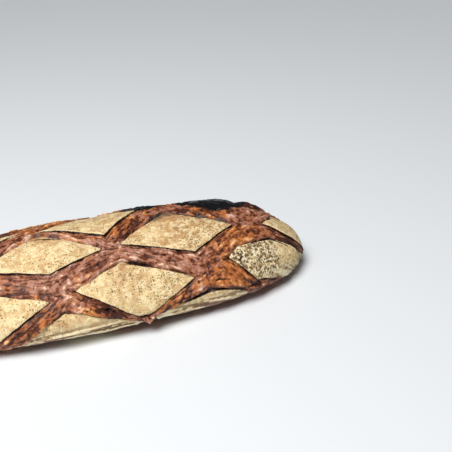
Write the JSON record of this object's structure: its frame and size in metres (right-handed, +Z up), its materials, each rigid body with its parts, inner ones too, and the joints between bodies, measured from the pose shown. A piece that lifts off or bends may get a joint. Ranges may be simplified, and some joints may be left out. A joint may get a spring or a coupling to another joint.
{
  "type": "sourdough loaf",
  "caption": "Long oval sourdough loaf with blunt ends, a flat base and floured diamond plates of skin between torn brown score channels.",
  "frame": {"origin": "centre of the underside, on the surface that the loaf rests on", "axes": "+X along the loaf, +Y across it towards the side with the charred ear, +Z up"},
  "size_m": [0.34, 0.132, 0.0661],
  "materials": {
    "crust": "dry baked crust: reddish-brown semi-matt torn channels and cream matt floured skin plates"
  },
  "bodies": {
    "root": {"loaf": "crust"}
  },
  "joints": []
}
